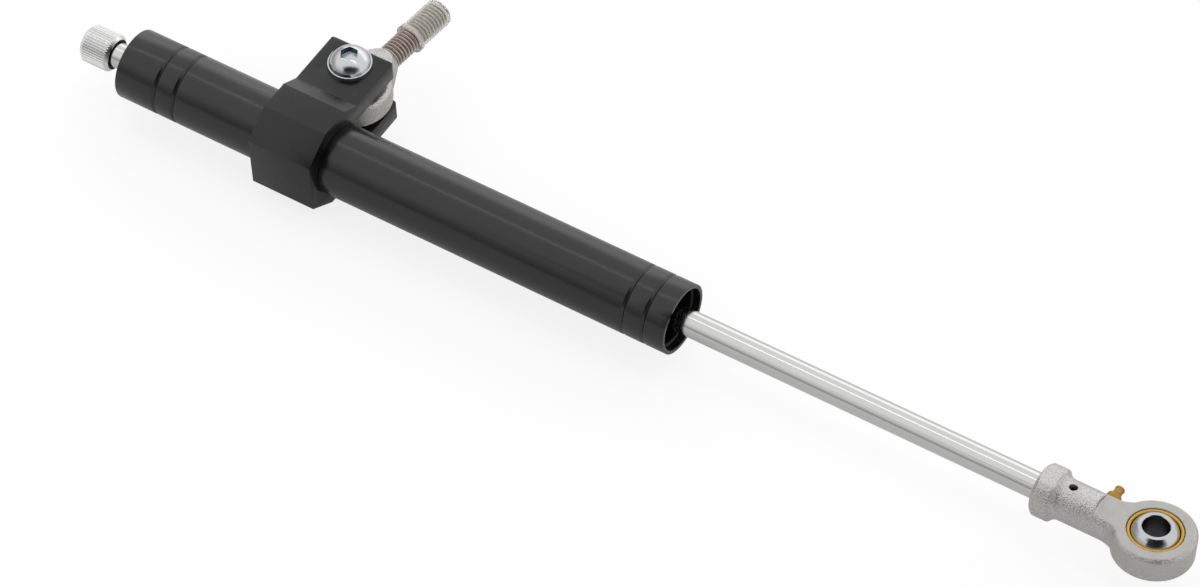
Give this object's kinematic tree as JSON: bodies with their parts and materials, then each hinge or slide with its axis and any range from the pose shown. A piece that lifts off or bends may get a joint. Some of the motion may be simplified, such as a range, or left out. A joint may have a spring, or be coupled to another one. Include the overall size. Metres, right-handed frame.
{
  "type": "motorcycle steering damper",
  "caption": "Adjustable steering damper: grooved tube with a through rod, knurled setting knob, rod end at one end and a tube clamp that carries a threaded stud rod end.",
  "frame": {"origin": "centre of the ball in the rod end on the piston rod", "axes": "+X along the damper from the tube to the rod end, +Z along the bore of the rod end's ball, +Y towards the side of the clamp's stud"},
  "size_m": [0.3743, 0.0796, 0.0359],
  "materials": {
    "black_anodised": "satin black anodised",
    "rod_steel": "polished hard chrome",
    "turned_steel": "turned",
    "turned_aluminium": "turned",
    "knob_metal": "satin knurled",
    "cast_steel": "zinc plated, grainy",
    "ball_steel": "polished",
    "bronze": "plain",
    "zinc_screw": "bright zinc plated",
    "spring_steel": "oiled black",
    "nitrile_rubber": "matt",
    "sliding_plastic": "matt",
    "clear_plastic": "clear"
  },
  "bodies": {
    "barrel": {"tube": "black_anodised", "front_gland": "turned_aluminium", "back_gland": "turned_aluminium", "front_bush": "bronze", "back_bush": "bronze", "front_rod_seal": "nitrile_rubber", "back_rod_seal": "nitrile_rubber", "front_wiper": "nitrile_rubber", "back_wiper": "nitrile_rubber", "front_gland_ring": "nitrile_rubber", "back_gland_ring": "nitrile_rubber", "front_circlip": "spring_steel", "back_circlip": "spring_steel", "front_stop_ring": "spring_steel", "back_stop_ring": "spring_steel"},
    "band": {"piston_band": "sliding_plastic", "band_ring": "nitrile_rubber"},
    "rod": {"rod": "rod_steel", "piston": "turned_aluminium", "piston_clips": "spring_steel", "guide_pin": "turned_steel", "rod_end_housing": "cast_steel", "grease_nipple": "bronze"},
    "knob": {"knob": "knob_metal", "knob_ring": "nitrile_rubber", "knob_clip": "spring_steel"},
    "needle": {"needle": "bronze", "needle_ring": "nitrile_rubber"},
    "eye_race": {"rod_end_race": "bronze"},
    "eye_ball": {"rod_end_ball": "ball_steel"},
    "clamp": {"clamp": "black_anodised", "clamp_bolt": "zinc_screw"},
    "stud_ball": {"stud_end_ball": "ball_steel"},
    "stud": {"stud_end_housing": "cast_steel", "stud_end_race": "bronze"},
    "cap": {"thread_cap": "clear_plastic"}
  },
  "joints": [
    {"name": "rod_slide", "type": "slide", "parent": "barrel", "child": "band", "axis": [1, 0, 0], "range_m": [-0.104, 0]},
    {"name": "rod_spin", "type": "hinge", "parent": "band", "child": "rod", "pos_m": [0, 0, 0], "axis": [1, 0, 0], "continuous": true},
    {"name": "knob_turn", "type": "hinge", "parent": "rod", "child": "knob", "pos_m": [-0.35715, 0, 0], "axis": [1, 0, 0], "range_deg": [0, 720]},
    {"name": "needle_slide", "type": "slide", "parent": "rod", "child": "needle", "axis": [1, 0, 0], "range_m": [0, 0.001]},
    {"name": "eye_swivel", "type": "hinge", "parent": "rod", "child": "eye_race", "pos_m": [0, 0, 0], "axis": [0, 0, 1], "continuous": true},
    {"name": "eye_tilt", "type": "hinge", "parent": "eye_race", "child": "eye_ball", "pos_m": [0, 0, 0], "axis": [0, 1, 0], "range_deg": [-13, 13]},
    {"name": "clamp_slide", "type": "slide", "parent": "barrel", "child": "clamp", "axis": [1, 0, 0], "range_m": [-0.029, 0.104]},
    {"name": "stud_swivel", "type": "hinge", "parent": "clamp", "child": "stud_ball", "pos_m": [-0.283, 0.02381, 0.00301], "axis": [0, -0.1253, 0.9921], "range_deg": [-80, 80]},
    {"name": "stud_tilt", "type": "hinge", "parent": "stud_ball", "child": "stud", "pos_m": [-0.283, 0.02381, 0.00301], "axis": [-0.9925, 0.1209, 0.0153], "range_deg": [-8, 8]},
    {"name": "cap_pull", "type": "slide", "parent": "stud", "child": "cap", "axis": [0.1219, 0.9847, 0.1244], "range_m": [0, 0.018]}
  ],
  "couplings": [
    {"joint": "knob_turn", "follows": "needle_slide", "rad_per_m": 12566}
  ]
}
